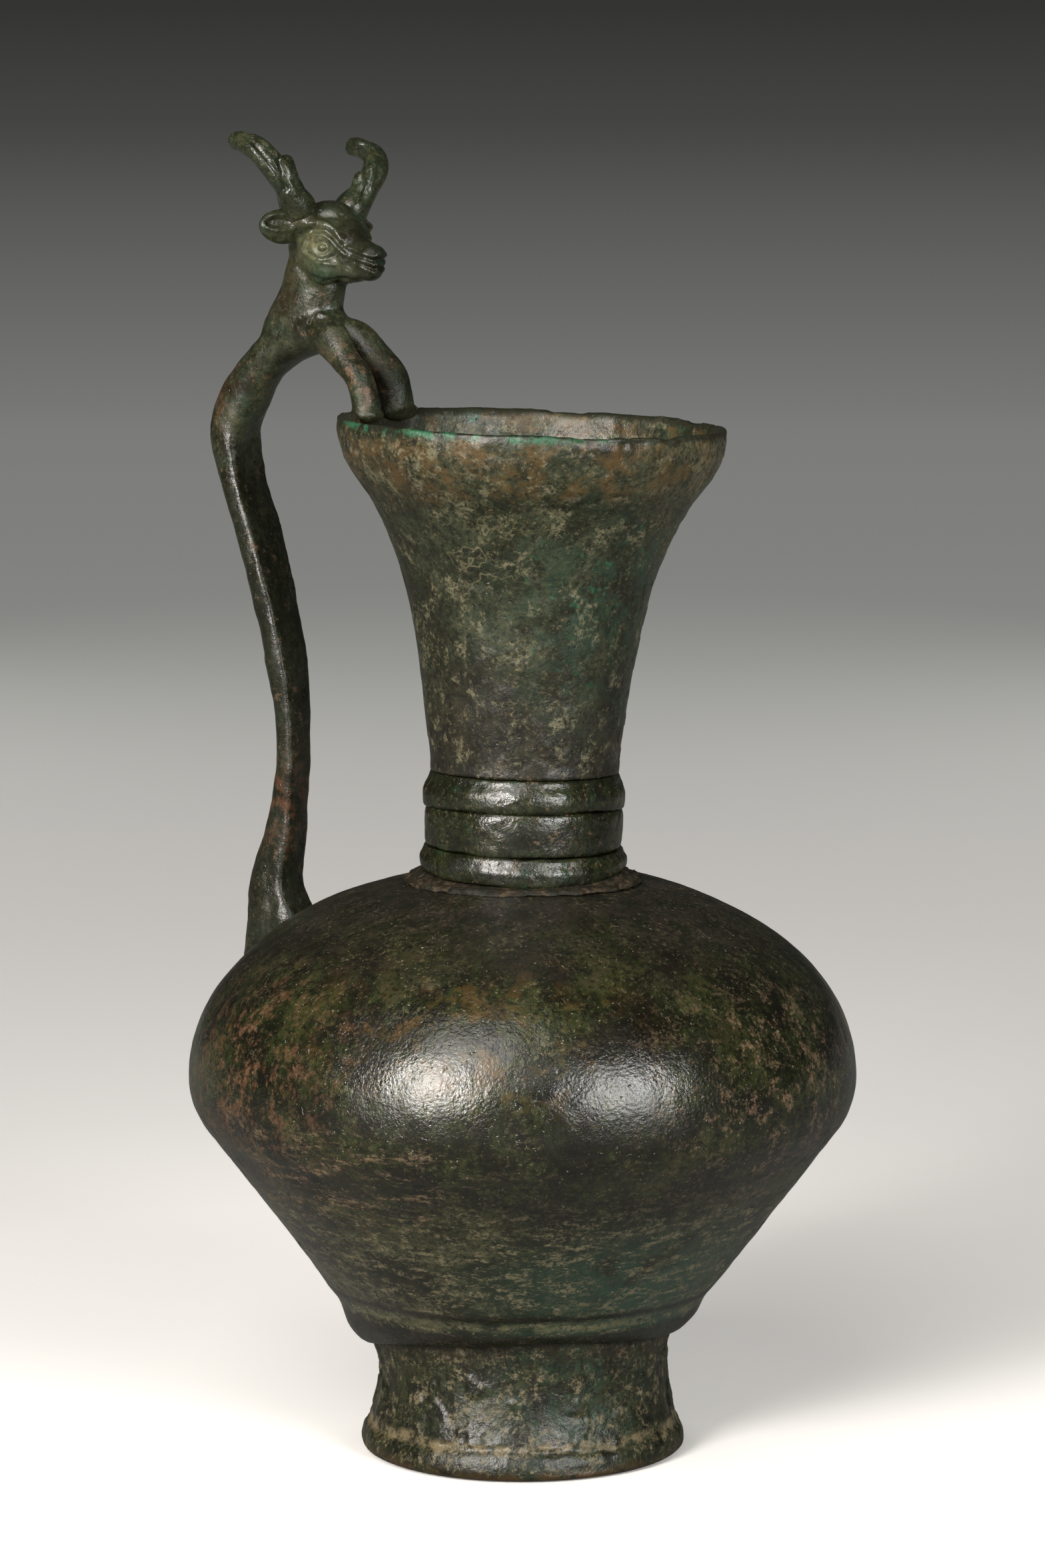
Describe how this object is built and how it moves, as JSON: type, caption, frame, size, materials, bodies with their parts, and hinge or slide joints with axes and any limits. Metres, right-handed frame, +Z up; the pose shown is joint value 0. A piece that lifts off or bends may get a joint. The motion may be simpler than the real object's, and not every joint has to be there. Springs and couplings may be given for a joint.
{
  "type": "bronze jug",
  "caption": "Bronze jug with a wide pointed belly on a hollow foot, a banded collar, a flared mouth and a handle cast as a stag leaning on the rim.",
  "frame": {"origin": "on the surface that the jug stands on, under the middle of its foot", "axes": "+Z up along the belly's axis; +X to the right of the jug as it is shown, with the handle behind its left side; +Y to the back"},
  "size_m": [0.1614, 0.1614, 0.3186],
  "materials": {
    "bronze_dark": "dark waxed brown-green patina",
    "bronze_green": "mottled grey-green patina with turquoise and pale crust",
    "bronze_gloss": "glossy waxed green patina",
    "bronze_stag": "worn green-brown patina with rubbed edges",
    "solder": "grainy tan corroded solder"
  },
  "bodies": {
    "root": {"body": "bronze_dark", "base_disc": "bronze_dark", "foot": "bronze_dark", "foot_solder": "solder", "neck": "bronze_green", "neck_solder": "solder", "collar_lower": "bronze_gloss", "collar_middle": "bronze_gloss", "collar_upper": "bronze_gloss", "handle": "bronze_stag", "handle_solder": "solder", "antler_right": "bronze_stag", "antler_left": "bronze_stag"}
  },
  "joints": []
}
